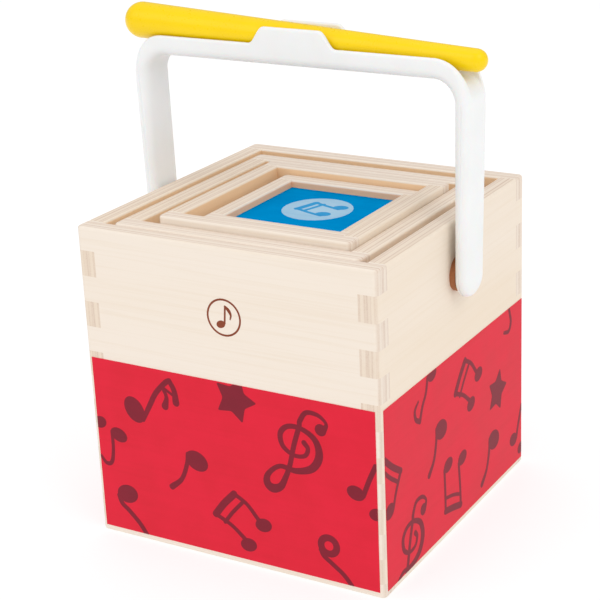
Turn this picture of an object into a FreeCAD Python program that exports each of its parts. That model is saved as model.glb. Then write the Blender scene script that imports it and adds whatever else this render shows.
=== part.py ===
import FreeCAD, Part
import math
import os
import re

# Nest of four square plywood boxes with a swinging carry handle and a tapered wooden beater.
# Millimetres. The origin is the centre of the outer box's underside, with +X to the right
# along the front, +Y to the back and +Z up.

doc = FreeCAD.newDocument("NestedMusicBoxes")
sheet = doc.addObject("Spreadsheet::Sheet", "Sizes")

SIZES = [
    ("box_side", 150, "outer box, width and depth"),
    ("box_height", 150, "outer box, floor to rim"),
    ("outer_wall", 9, "plywood of the outer and second box"),
    ("inner_wall", 8, "plywood of the third and inner box"),
    ("base_board", 5, "plywood of every base"),
    ("second_play", 8, "free width between the outer and the second box"),
    ("third_play", 9, "free width between the second and the third box"),
    ("inner_play", 6, "free width between the third and the inner box"),
    ("second_shift", 0.2, "second box off the middle, to the right"),
    ("inner_back_gap", 1.2, "inner box to the third box's back wall"),
    ("nest_gap", 0.5, "gap where one box rests against another"),
    ("third_rise", 3, "third box's rim above the outer rim"),
    ("corner_round", 2.5, "vertical corners"),
    ("edge_round", 1.2, "rims and bottom edges"),
    ("top_finger", 11, "first corner finger, down from the rim"),
    ("finger_pitch", 12, "every other corner finger"),
    ("print_foot", 3, "underside to the print"),
    ("print_height", 85, "printed band"),
    ("print_film", 0.25, "print thickness"),
    ("lid_recess", 3.6, "inner rim down to the lid's printed face"),
    ("lid_board", 4, "lid panel of the inner box"),
    ("pivot_drop", 25, "rim down to the handle's pivot axis"),
    ("arm_gap", 3, "box side to the handle's arm"),
    ("arm_thick", 8, "handle arm at its middle line"),
    ("crown_rise", 2, "arm's convex outer face, middle above its edges"),
    ("bar_height", 63, "outer rim up to the grip's underside"),
    ("bar_floor", 3, "floor of the grip's trough"),
    ("trough_depth", 6.5, "trough's walls above its floor"),
    ("trough_wall", 2.5, "thickness of the trough's walls"),
    ("bend_inside", 10, "inner radius where the arm turns into the grip"),
    ("bend_outside", 17, "outer radius where the arm turns into the grip"),
    ("channel_fade", 5, "length over which the channel runs out down the arm"),
    ("tab_half", 18, "half the length of a clip tab, at mid height"),
    ("tab_rise", 7.8, "clip tab above the trough's walls"),
    ("shoulder_flat", 0.2, "straight run between the two curves of a tab's shoulder"),
    ("tab_clear", 0.8, "beater's middle to each clip tab"),
    ("hand_round", 2.5, "edges that the hand closes round"),
    ("pin_width", 6, "pivot pin's diameter"),
    ("pin_head", 12, "pin head's diameter"),
    ("head_thick", 2.5, "pin head's thickness"),
    ("pin_hold", 4, "depth of the pin in the arm"),
    ("running_fit", 0.05, "pin to bore, radial"),
    ("head_clear", 0.3, "pin head to its recess, every way"),
    ("spacer_width", 16, "spacer ring's diameter"),
    ("spacer_clear", 0.3, "spacer ring to the arm"),
    ("beater_big", 16.8, "beater's diameter at the thick end"),
    ("beater_small", 10, "beater's diameter at the thin end"),
    ("beater_over", 7, "centre of each rounded end beyond the arm's inner face"),
    ("beater_clear", 0.4, "beater to the trough's walls"),
]

for row, (alias, value, note) in enumerate(SIZES, 1):
    sheet.set("A%d" % row, note)
    sheet.set("B%d" % row, str(value))
    sheet.setAlias("B%d" % row, alias)
doc.recompute()

ALIASES = [alias for alias, _, _ in SIZES]
nodes = {}
MIDDLE = "0 * box_side"  # the origin's own x, y or z
TOLERANCE = 0.001  # lengths closer than this are the same


def formula(text):
    """The expression with the sheet's name put before each of its aliases."""
    return re.sub(r"[a-z_]+", lambda m: "Sizes." + m[0] if m[0] in ALIASES else m[0], text)


def value_of(text):
    """The expression's value now, in millimetres."""
    return float(sheet.evalExpression(formula(text)))


def bind(obj, **expressions):
    """Bind properties to the sheet; x, y and z stand for the place."""
    places = {"x": "Placement.Base.x", "y": "Placement.Base.y", "z": "Placement.Base.z"}
    for name, text in expressions.items():
        obj.setExpression(places.get(name, name), formula(text))
    return obj


def block(name, across, deep, tall, x, y, z):
    """A box from its low corner."""
    obj = doc.addObject("Part::Box", name)
    return bind(obj, Length=across, Width=deep, Height=tall, x=x, y=y, z=z)


def centred_block(name, across, deep, tall, x, y, z):
    """A box centred on x and y, standing on z."""
    low_x = "(%s) - (%s) / 2" % (x, across)
    low_y = "(%s) - (%s) / 2" % (y, deep)
    return block(name, across, deep, tall, low_x, low_y, z)


def rod_x(name, radius, length, x, y, z):
    """A cylinder that runs along +X from x."""
    obj = doc.addObject("Part::Cylinder", name)
    obj.Placement.Rotation = FreeCAD.Rotation(FreeCAD.Vector(0, 1, 0), 90)
    return bind(obj, Radius=radius, Height=length, x=x, y=y, z=z)


def cut(name, base, tool):
    obj = doc.addObject("Part::Cut", name)
    obj.Base = base
    obj.Tool = tool
    return obj


def common(name, base, tool):
    obj = doc.addObject("Part::Common", name)
    obj.Base = base
    obj.Tool = tool
    return obj


def fuse(name, pieces):
    obj = doc.addObject("Part::MultiFuse", name)
    obj.Shapes = pieces
    obj.Refine = True
    return obj


def fillet(name, base, wanted, radius):
    """Round the edges that wanted(edge) picks from the base's shape."""
    doc.recompute()
    picked = [n for n, edge in enumerate(base.Shape.Edges, 1) if wanted(edge)]
    obj = doc.addObject("Part::Fillet", name)
    obj.Base = base
    obj.Edges = [(n, radius, radius) for n in picked]
    return obj


def node(label, obj):
    """Name the finished piece that goes out as a file."""
    obj.Label = label
    nodes[label] = obj
    return obj


def near(one, other):
    return abs(one - other) < TOLERANCE


def level(edge, height):
    """The edge lies flat at this height."""
    box = edge.BoundBox
    return near(box.ZMin, height) and near(box.ZMax, height)


def upright(edge):
    return edge.BoundBox.ZLength > TOLERANCE and near(edge.BoundBox.XLength + edge.BoundBox.YLength, 0)


# The boxes, from the outside in. Each one's place and sizes are expressions of the sheet.
OUTER_INSIDE = "(box_side - 2 * outer_wall)"
SECOND = "(box_side - 2 * outer_wall - second_play)"
THIRD = "(%s - 2 * outer_wall - third_play)" % SECOND
INNER = "(%s - 2 * inner_wall - inner_play)" % THIRD
STEP = "(base_board + nest_gap)"
SECOND_Y = "(-%s / 2 + nest_gap + %s / 2)" % (OUTER_INSIDE, SECOND)
THIRD_X = "(second_shift + %s / 2 - outer_wall - nest_gap - %s / 2)" % (SECOND, THIRD)
THIRD_Y = "(%s - %s / 2 + outer_wall + nest_gap + %s / 2)" % (SECOND_Y, SECOND, THIRD)
INNER_X = "(%s + %s / 2 - inner_wall - nest_gap - %s / 2)" % (THIRD_X, THIRD, INNER)
INNER_Y = "(%s + %s / 2 - inner_wall - inner_back_gap - %s / 2)" % (THIRD_Y, THIRD, INNER)

BOXES = {
    "outer": dict(side="box_side", wall="outer_wall", x=MIDDLE, y=MIDDLE,
                  low=MIDDLE, high="box_height"),
    "second": dict(side=SECOND, wall="outer_wall", x="second_shift", y=SECOND_Y,
                   low=STEP, high="box_height"),
    "third": dict(side=THIRD, wall="inner_wall", x=THIRD_X, y=THIRD_Y,
                  low="2 * " + STEP, high="(box_height + third_rise)"),
    "inner": dict(side=INNER, wall="inner_wall", x=INNER_X, y=INNER_Y,
                  low="3 * " + STEP, high="box_height"),
}


def wall_ring(name, box):
    """The four walls as one rounded ring, before they are parted at the corner joints."""
    side, wall, x, y = box["side"], box["wall"], box["x"], box["y"]
    tall = "%s - %s" % (box["high"], box["low"])
    solid = centred_block(name + "_blank", side, side, tall, x, y, box["low"])
    rounded = fillet(name + "_corners", solid, upright, value_of("corner_round"))
    inside = "(%s - 2 * %s)" % (side, wall)
    hollow = centred_block(name + "_hollow", inside, inside, tall + " + 2 * edge_round",
                           x, y, box["low"] + " - edge_round")
    ring = cut(name + "_ring", rounded, hollow)
    low, high, reach = value_of(box["low"]), value_of(box["high"]), value_of(inside) / 2
    middle = FreeCAD.Vector(value_of(x), value_of(y), low)

    def eased(edge):
        off = edge.BoundBox.Center - middle
        inner_edge = max(abs(off.x), abs(off.y)) < reach + 0.001
        return level(edge, high) or (level(edge, low) and not inner_edge)

    return fillet(name + "_eased", ring, eased, value_of("edge_round"))


def corner_fingers(name, box):
    """The corner posts parted in two: the front and back walls' fingers, and the sides'."""
    side, wall, x, y = box["side"], box["wall"], box["x"], box["y"]
    tall = "%s - %s" % (box["high"], box["low"])
    posts = []
    for sign_x in (-1, 1):
        for sign_y in (-1, 1):
            post_x = "%s + %d * (%s - %s) / 2" % (x, sign_x, side, wall)
            post_y = "%s + %d * (%s - %s) / 2" % (y, sign_y, side, wall)
            posts.append(centred_block("%s_post_%d" % (name, len(posts)), wall, wall, tall,
                                       post_x, post_y, box["low"]))
    layers = []
    pitch = value_of("finger_pitch")
    count = math.ceil((value_of(tall) - value_of("top_finger") + pitch) / (2 * pitch))
    for turn in range(count):
        low = "%s - top_finger - %d * finger_pitch" % (box["high"], 2 * turn)
        layers.append(centred_block("%s_layer_%d" % (name, turn), side, side, "finger_pitch",
                                    x, y, low))
    every_post = fuse(name + "_posts", posts)
    every_layer = fuse(name + "_layers", layers)
    fronts = common(name + "_front_fingers", every_post, every_layer)
    sides = cut(name + "_side_fingers", every_post, every_layer)
    return fronts, sides


def four_walls(name, box):
    """Front, back, left and right walls, locked together by their corner fingers."""
    side, wall, x, y = box["side"], box["wall"], box["x"], box["y"]
    tall = "%s - %s" % (box["high"], box["low"])
    shift = "(%s - %s) / 2" % (side, wall)
    ring = wall_ring(name, box)
    front_fingers, side_fingers = corner_fingers(name, box)
    walls = {}
    for where, sign in (("front", -1), ("back", 1)):
        slab = centred_block("%s_%s_slab" % (name, where), side, wall, tall,
                             x, "%s + %d * %s" % (y, sign, shift), box["low"])
        part = common("%s_%s_part" % (name, where), ring, slab)
        walls[where] = cut("%s_%s" % (name, where), part, side_fingers)
    for where, sign in (("left", -1), ("right", 1)):
        slab = centred_block("%s_%s_slab" % (name, where), wall, side, tall,
                             "%s + %d * %s" % (x, sign, shift), y, box["low"])
        part = common("%s_%s_part" % (name, where), ring, slab)
        walls[where] = cut("%s_%s" % (name, where), part, front_fingers)
    return walls


def base_and_prints(name, box):
    """The base board between the walls, and the printed band on each outer face."""
    side, wall, x, y, low = box["side"], box["wall"], box["x"], box["y"], box["low"]
    inside = "(%s - 2 * %s)" % (side, wall)
    base = centred_block(name + "_base_board", inside, inside, "base_board", x, y, low)
    node(name + "_base", base)
    wide = "(%s - 2 * corner_round)" % side
    foot = low + " + print_foot"
    shift = "(%s + print_film) / 2" % side
    for where, sign in (("front", -1), ("back", 1)):
        film = centred_block("%s_%s_film" % (name, where), wide, "print_film", "print_height",
                             x, "%s + %d * %s" % (y, sign, shift), foot)
        node("%s_%s_print" % (name, where), film)
    for where, sign in (("left", -1), ("right", 1)):
        film = centred_block("%s_%s_film" % (name, where), "print_film", wide, "print_height",
                             "%s + %d * %s" % (x, sign, shift), y, foot)
        node("%s_%s_print" % (name, where), film)


def lid_of(name, box):
    """The innermost box's lid panel, set down inside its rim, and the print on it."""
    inside = "(%s - 2 * %s)" % (box["side"], box["wall"])
    top = "%s - lid_recess - print_film" % box["high"]
    panel = centred_block(name + "_lid_board", inside, inside, "lid_board",
                          box["x"], box["y"], top + " - lid_board")
    film = centred_block(name + "_lid_film", inside, inside, "print_film",
                         box["x"], box["y"], top)
    node(name + "_lid_panel", panel)
    node(name + "_lid_print", film)


# The handle's pivot, at the middle of each side of the outer box.
PIVOT_Z = "(box_height - pivot_drop)"
PIN_START = "(box_side / 2 - outer_wall + head_clear)"
ARM_IN = "(box_side / 2 + arm_gap)"
ARM_OUT = "(box_side / 2 + arm_gap + arm_thick)"
GRIP_LOW = "(box_height + bar_height)"
GRIP_HIGH = "(box_height + bar_height + bar_floor + trough_depth)"
TROUGH = "((beater_big + beater_small) / 2 + 2 * tab_clear)"
STRAP = "(%s + 2 * trough_wall)" % TROUGH


def along_side(sign, near_end, length):
    """The low end of a run that starts near_end from the middle, on the left or right."""
    return near_end if sign > 0 else "-(%s) - (%s)" % (near_end, length)


def pivot_bore(name, sign, wall):
    """The wall with its pin bore, and the pin head's recess on its inner face."""
    depth = "outer_wall + 2 * head_clear"
    start = "box_side / 2 - outer_wall - head_clear"
    bore = rod_x(name + "_bore", "pin_width / 2 + running_fit", depth,
                 along_side(sign, start, depth), MIDDLE, PIVOT_Z)
    sunk = "head_thick + 3 * head_clear"
    recess = rod_x(name + "_recess", "pin_head / 2 + head_clear", sunk,
                   along_side(sign, start, sunk), MIDDLE, PIVOT_Z)
    return cut(name + "_bored", wall, fuse(name + "_drill", [bore, recess]))


def pivot_pin(name, sign):
    """A headed pin that is held in the handle's arm and turns in the wall."""
    length = "(%s + pin_hold - %s)" % (ARM_IN, PIN_START)
    shank = rod_x(name + "_shank", "pin_width / 2", length,
                  along_side(sign, PIN_START, length), MIDDLE, PIVOT_Z)
    head = rod_x(name + "_head", "pin_head / 2", "head_thick",
                 along_side(sign, PIN_START, "head_thick"), MIDDLE, PIVOT_Z)
    return node(name, fuse(name + "_solid", [shank, head]))


def spacer_ring(name, sign):
    """The ring on the pin that keeps the arm off the box's side."""
    thick = "(arm_gap - spacer_clear)"
    ring = rod_x(name + "_disc", "spacer_width / 2", thick,
                 along_side(sign, "box_side / 2", thick), MIDDLE, PIVOT_Z)
    hole = rod_x(name + "_hole", "pin_width / 2 + running_fit", "arm_gap",
                 along_side(sign, "box_side / 2", "arm_gap"), MIDDLE, PIVOT_Z)
    return node(name, cut(name + "_ring", ring, hole))


def arch(name, half, top, radius, deep, low):
    """A block under an arch with rounded shoulders, centred on x and y."""
    tall = "((%s) - (%s))" % (top, low)
    solid = centred_block(name, "2 * %s" % half, deep, tall, MIDDLE, MIDDLE, low)
    high = value_of(top)

    def shoulder(edge):
        return level(edge, high) and near(edge.BoundBox.XLength, 0)

    return fillet(name + "_shoulders", solid, shoulder, radius)


def handle_strap():
    """The bent strap: an arch inside an arch, with round lower ends about the pivot."""
    half_strap = "(%s / 2)" % STRAP
    low = "(%s - %s)" % (PIVOT_Z, half_strap)
    outside = arch("strap_outside", ARM_OUT, GRIP_HIGH, value_of("bend_outside"), STRAP, low)
    inside = arch("strap_inside", ARM_IN, GRIP_LOW, value_of("bend_inside"),
                  STRAP + " + 2 * arm_gap", low + " - arm_gap")
    bent = cut("strap_bent", outside, inside)
    span = "2 * %s + 2 * arm_gap" % ARM_OUT
    round_end = rod_x("strap_round_end", half_strap, span,
                      "-%s - arm_gap" % ARM_OUT, MIDDLE, PIVOT_Z)
    above = centred_block("strap_above", span, STRAP, "bar_height + 2 * %s" % STRAP + " + pivot_drop",
                          MIDDLE, MIDDLE, PIVOT_Z)
    ends = fuse("strap_outline", [round_end, above])
    return common("strap", bent, ends)


def clip_tabs():
    """A raised block in the middle of each trough wall."""
    tabs = []
    for sign in (-1, 1):
        across = "2 * tab_half"
        middle_y = "%d * (%s - trough_wall) / 2" % (sign, STRAP)
        tabs.append(centred_block("clip_tab_%d" % len(tabs), across, "trough_wall",
                                  "tab_rise + trough_wall", MIDDLE, middle_y,
                                  GRIP_HIGH + " - trough_wall"))
    return tabs


def arm_crown(sign):
    """What is taken off an arm's outer edges, so that its face is convex and fades upwards."""
    name = "crown_%s" % ("right" if sign > 0 else "left")
    half = value_of(STRAP) / 2
    rise = value_of("crown_rise")
    radius = (half * half + rise * rise) / (2 * rise)
    tall = value_of("bar_height + pivot_drop") - value_of("bend_outside") + half
    lean = math.degrees(math.atan(rise / tall))
    shave = "(2 * crown_rise)"
    stock = centred_block(name + "_stock", shave, STRAP + " + 2 * arm_gap",
                          "bar_height + pivot_drop - bend_outside + %s / 2" % STRAP,
                          "%d * %s" % (sign, ARM_OUT), MIDDLE,
                          "%s - %s / 2" % (PIVOT_Z, STRAP))
    keep = doc.addObject("Part::Cylinder", name + "_keep")
    keep.Radius = radius
    keep.Height = 2 * tall
    tilt = FreeCAD.Rotation(FreeCAD.Vector(0, 1, 0), sign * lean)
    foot = FreeCAD.Vector(sign * (value_of(ARM_OUT) - radius), 0, value_of(PIVOT_Z) - half)
    keep.Placement = FreeCAD.Placement(foot, tilt)
    return cut(name, stock, keep)


def channel():
    """What is cleared for the trough, round both bends and down the arms till it runs out."""
    floor_top = "(%s + bar_floor)" % GRIP_LOW
    depth = "(arm_thick - bar_floor)"
    bend_end = "(%s - bend_inside)" % GRIP_LOW
    over = arch("channel_over", "(%s + arm_gap)" % ARM_OUT, GRIP_HIGH + " + tab_rise + arm_gap",
                value_of("bend_inside"), TROUGH, bend_end)
    under = arch("channel_under", "(%s + bar_floor)" % ARM_IN, floor_top,
                 value_of("bend_inside + bar_floor"), STRAP, bend_end + " - arm_gap")
    pieces = [cut("channel_bar", over, under)]
    lean = math.degrees(math.atan(value_of(depth) / value_of("channel_fade")))
    for sign in (-1, 1):
        run = doc.addObject("Part::Box", "channel_run_%d" % len(pieces))
        bind(run, Length="arm_thick", Width=TROUGH, Height="2 * channel_fade")
        turn = FreeCAD.Rotation(FreeCAD.Vector(0, 1, 0), sign * -lean)
        side = FreeCAD.Rotation(FreeCAD.Vector(0, 0, 1), 0 if sign > 0 else 180)
        drop = FreeCAD.Vector(0, -value_of(TROUGH) / 2, -value_of("2 * channel_fade"))
        corner = FreeCAD.Vector(sign * value_of("%s + bar_floor" % ARM_IN), 0, value_of(bend_end))
        whole = turn.multiply(side)
        run.Placement = FreeCAD.Placement(corner + whole.multVec(drop), whole)
        pieces.append(run)
    return fuse("channel", pieces)


def handle():
    """The one-piece moulded handle."""
    strap = handle_strap()
    for sign in (-1, 1):
        strap = cut("strap_crowned_%d" % (sign + 1), strap, arm_crown(sign))
    grip_low, arm_in = value_of(GRIP_LOW), value_of(ARM_IN)
    half = value_of(STRAP) / 2

    def hand_side(edge):
        box = edge.BoundBox
        on_rim = near(abs(box.Center.y), half) and near(box.YLength, 0)
        under_bar = near(box.ZMax, grip_low)
        up_arm = near(box.XLength, 0) and near(abs(box.Center.x), arm_in)
        return on_rim and (under_bar or up_arm)

    strap = fillet("strap_hand_side", strap, hand_side, value_of("hand_round"))
    tabbed = fuse("strap_tabbed", [strap] + clip_tabs())
    tab_half, low, high = value_of("tab_half"), value_of(GRIP_HIGH), value_of(GRIP_HIGH + " + tab_rise")

    def tab_shoulder(edge):
        box = edge.BoundBox
        at_tab = near(abs(box.Center.x), tab_half) and near(box.XLength, 0)
        return at_tab and (level(edge, low) or level(edge, high))

    cleared = cut("strap_cleared", tabbed, channel())
    flowing = fillet("strap_flowing", cleared, tab_shoulder, value_of("(tab_rise - shoulder_flat) / 2"))
    span = "2 * %s + 2 * pin_hold" % ARM_IN
    hole = rod_x("pin_holes", "pin_width / 2", span, "-%s - pin_hold" % ARM_IN,
                 MIDDLE, PIVOT_Z)
    return node("handle_bail", cut("handle_solid", flowing, hole))


def beater():
    """A tapered stick with round ends, its thick end on the trough's walls, its thin end low."""
    big, small = value_of("beater_big / 2"), value_of("beater_small / 2")
    clear, half_trough = value_of("beater_clear"), value_of(TROUGH) / 2
    on_walls = math.sqrt(max(0.0, (big + clear) ** 2 - half_trough ** 2))
    on_floor = big + clear - value_of("trough_depth")
    reach = value_of("%s + beater_over" % ARM_IN)
    thick = FreeCAD.Vector(-reach, 0, value_of(GRIP_HIGH) + max(on_walls, on_floor))
    thin = FreeCAD.Vector(reach, 0, value_of(GRIP_LOW + " + bar_floor") + small)
    shaft = doc.addObject("Part::Cone", "beater_shaft")
    bind(shaft, Radius1="beater_big / 2", Radius2="beater_small / 2")
    shaft.Height = (thin - thick).Length
    turn = FreeCAD.Rotation(FreeCAD.Vector(0, 0, 1), thin - thick)
    shaft.Placement = FreeCAD.Placement(thick, turn)
    ends = []
    for label, radius, place in (("thick", "beater_big / 2", thick), ("thin", "beater_small / 2", thin)):
        end = doc.addObject("Part::Sphere", "beater_%s_end" % label)
        bind(end, Radius=radius)
        end.Placement = FreeCAD.Placement(place, turn)
        ends.append(end)
    return node("beater", fuse("beater_solid", [shaft] + ends))


def build():
    """Every piece of the object."""
    for name, box in BOXES.items():
        walls = four_walls(name, box)
        if name == "outer":
            walls["left"] = pivot_bore("left_pivot", -1, walls["left"])
            walls["right"] = pivot_bore("right_pivot", 1, walls["right"])
        for where, wall in walls.items():
            node("%s_%s_wall" % (name, where), wall)
        base_and_prints(name, box)
    lid_of("inner", BOXES["inner"])
    for sign, where in ((-1, "left"), (1, "right")):
        pivot_pin("pivot_pin_" + where, sign)
        spacer_ring("spacer_ring_" + where, sign)
    handle()
    beater()
    doc.recompute()


def check():
    """Stop if anything failed to build."""
    for obj in doc.Objects:
        if "Invalid" in obj.State or "Error" in obj.State:
            raise RuntimeError("%s did not build: %s" % (obj.Label, obj.State))
    for label, obj in nodes.items():
        if obj.Shape.isNull() or not obj.Shape.isValid() or not obj.Shape.Solids:
            raise RuntimeError("%s has no valid solid" % label)


def write():
    """One file for each piece."""
    os.makedirs("parts", exist_ok=True)
    for label, obj in nodes.items():
        obj.Shape.exportStep("parts/%s.step" % label)


build()
check()
write()
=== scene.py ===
import logging
import math
from dataclasses import dataclass, field
from enum import Enum
from typing import Iterable, Sequence

import bmesh
import bpy
from bpy.types import Material, Node, NodeSocket, NodeTree, Object
from mathutils import Matrix, Vector
from mathutils.geometry import convex_hull_2d, delaunay_2d_cdt


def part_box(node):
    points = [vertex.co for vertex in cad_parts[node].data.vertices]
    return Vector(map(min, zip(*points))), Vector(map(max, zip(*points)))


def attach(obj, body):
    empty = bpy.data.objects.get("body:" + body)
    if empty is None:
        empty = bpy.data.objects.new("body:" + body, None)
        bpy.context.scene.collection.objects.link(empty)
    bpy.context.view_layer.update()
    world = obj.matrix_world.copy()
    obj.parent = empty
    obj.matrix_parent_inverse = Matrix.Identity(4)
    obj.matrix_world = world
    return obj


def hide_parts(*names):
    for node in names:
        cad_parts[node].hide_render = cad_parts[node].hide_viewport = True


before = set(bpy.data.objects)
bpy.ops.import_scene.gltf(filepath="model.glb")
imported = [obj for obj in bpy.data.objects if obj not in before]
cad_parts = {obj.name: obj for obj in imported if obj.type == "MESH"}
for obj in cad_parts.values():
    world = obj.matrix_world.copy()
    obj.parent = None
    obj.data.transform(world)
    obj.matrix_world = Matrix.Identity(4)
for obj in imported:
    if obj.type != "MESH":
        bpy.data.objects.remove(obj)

# A nest of four plywood boxes with music prints, a white carry handle and a yellow beater.
# The frame and the studio are in metres; sizes of the boxes, handle and beater are in millimetres.

LOG = logging.getLogger("nested_music_boxes")
MM = 0.001
X, Y, Z = 0, 1, 2

Point = tuple[float, float]
Polygon = list[Point]


# ---- small helpers


def linear(code: str) -> tuple[float, float, float, float]:
    """Turn an sRGB hex colour into the linear colour that a shader takes, by the sRGB standard's curve.

    Args:
        code: The colour as "#RRGGBB".

    Returns:
        Linear red, green, blue and an alpha of one.
    """
    parts = [int(code[i:i + 2], 16) / 255 for i in (1, 3, 5)]
    red, green, blue = (p / 12.92 if p <= 0.04045 else ((p + 0.055) / 1.055) ** 2.4 for p in parts)
    return red, green, blue, 1.0


def add(tree: NodeTree, kind: str, inputs: dict | None = None,
        stops: Sequence[tuple[float, str | float]] = (), **settings: object) -> Node:
    """Add one shader node with its settings, values and links.

    Args:
        tree: The material's node tree.
        kind: The node's type name without "ShaderNode".
        inputs: Socket name or number to a value, an output socket, or a node whose first output is linked.
        stops: Places along a colour ramp, each with a hex colour or a grey value.
        **settings: The node's own properties.

    Returns:
        The new node.
    """
    node = tree.nodes.new("ShaderNode" + kind)
    for name, value in settings.items():
        setattr(node, name, value)
    for name, value in (inputs or {}).items():
        source = value.outputs[0] if isinstance(value, Node) else value
        if isinstance(source, NodeSocket):
            tree.links.new(source, node.inputs[name])
        else:
            node.inputs[name].default_value = source
    for _ in stops[2:]:
        node.color_ramp.elements.new(1.0)
    for i, (place, shade) in enumerate(stops):
        element = node.color_ramp.elements[i]
        element.position = place
        element.color = linear(shade) if isinstance(shade, str) else (shade, shade, shade, 1.0)
    return node


def arc(middle: Point, radius: float, start: float, end: float, steps: int) -> Polygon:
    """Sample an arc.

    Args:
        middle: Its centre.
        radius: Its radius.
        start: Its first angle in degrees.
        end: Its last angle in degrees.
        steps: How many parts it is cut into.

    Returns:
        Its points in order, with both ends.
    """
    angles = [math.radians(start + (end - start) * i / steps) for i in range(steps + 1)]
    return [(middle[0] + radius * math.cos(angle), middle[1] + radius * math.sin(angle)) for angle in angles]


def cells(width: float) -> float:
    """Turn a pattern's real width in millimetres into its cells per metre."""
    return 1 / (width * MM)


def drawn_out(width: float, axis: int, length: float) -> tuple[float, ...]:
    """Work out a pattern's cells per metre along X, Y and Z where it has another size along one axis.

    Args:
        width: Its real size in millimetres along the other two axes.
        axis: The axis of its own.
        length: Its real size in millimetres along that axis.

    Returns:
        The cells per metre along each axis.
    """
    return tuple(cells(length if each == axis else width) for each in (X, Y, Z))


def new_material(name: str) -> tuple[Material, NodeTree, NodeSocket]:
    """Start a material.

    Args:
        name: The material's name.

    Returns:
        The material, its empty node tree, and a socket with places on the object in metres.
    """
    made = bpy.data.materials.new(name)
    made.use_nodes = True
    tree = made.node_tree
    tree.nodes.clear()
    return made, tree, add(tree, "TexCoord").outputs["Object"]


def finished(made: Material, look: dict) -> Material:
    """Give a material the principled shader that its nodes lead to.

    Args:
        made: The material.
        look: The shader's inputs by name, as in add.

    Returns:
        The same material.
    """
    shader = add(made.node_tree, "BsdfPrincipled", look)
    add(made.node_tree, "OutputMaterial", {"Surface": shader})
    return made


def give(node_name: str, material: Material) -> None:
    """Put one material on every slot of a CAD node."""
    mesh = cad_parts[node_name].data
    if not mesh.materials:
        mesh.materials.append(material)
    for slot in range(len(mesh.materials)):
        mesh.materials[slot] = material


def new_piece(name: str, verts: Sequence, faces: Sequence, material: Material,
              smooth: bool = False) -> Object:
    """Make a mesh object and put it in the scene.

    Args:
        name: The piece's name.
        verts: Its points in metres.
        faces: Its faces by point number.
        material: Its finish.
        smooth: Whether its faces are shaded smooth.

    Returns:
        The new object.
    """
    mesh = bpy.data.meshes.new(name)
    mesh.from_pydata([tuple(v) for v in verts], [], [tuple(f) for f in faces])
    mesh.validate()
    mesh.update()
    mesh.materials.append(material)
    if smooth:
        mesh.polygons.foreach_set("use_smooth", [True] * len(mesh.polygons))
    piece = bpy.data.objects.new(name, mesh)
    bpy.context.scene.collection.objects.link(piece)
    LOG.info("%s: %d faces", name, len(mesh.polygons))
    return piece


# ---- finishes


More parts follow.
